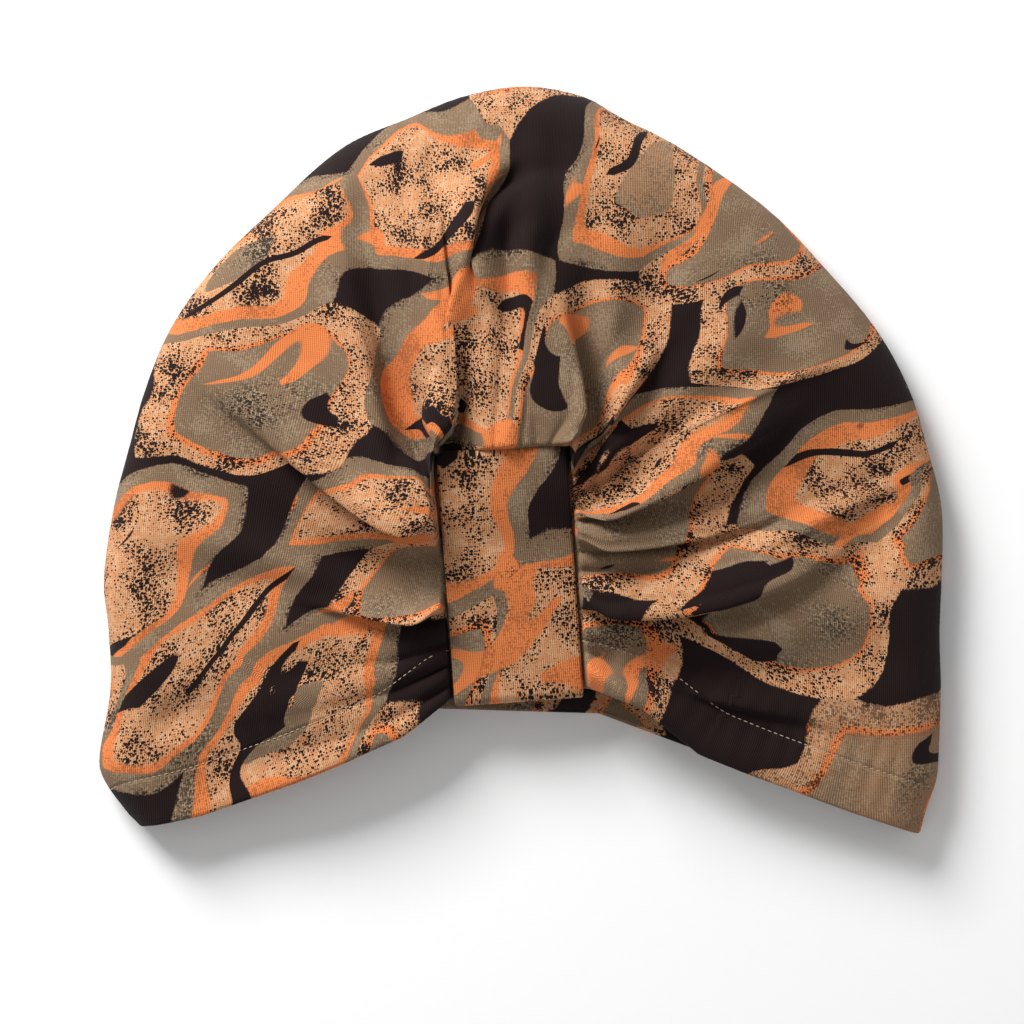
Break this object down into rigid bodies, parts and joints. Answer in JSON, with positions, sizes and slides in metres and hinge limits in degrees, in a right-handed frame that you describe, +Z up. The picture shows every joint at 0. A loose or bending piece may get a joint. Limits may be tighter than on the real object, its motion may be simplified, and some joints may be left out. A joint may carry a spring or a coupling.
{
  "type": "turban hat",
  "caption": "Soft printed jersey cap with gathered front cinched by a centre band, lying on its back.",
  "frame": {"origin": "middle of the bounding box, on the surface that the hat lies on", "axes": "+X to the right seen from the front, +Y from the hem towards the crown, +Z up out of the gathered front"},
  "size_m": [0.2802, 0.2474, 0.0383],
  "materials": {
    "printed_jersey": "matt printed jersey in khaki, black, orange and peach",
    "band_jersey": "matt printed jersey, doubled"
  },
  "bodies": {
    "root": {"cap_shell": "printed_jersey", "centre_band": "band_jersey"}
  },
  "joints": []
}
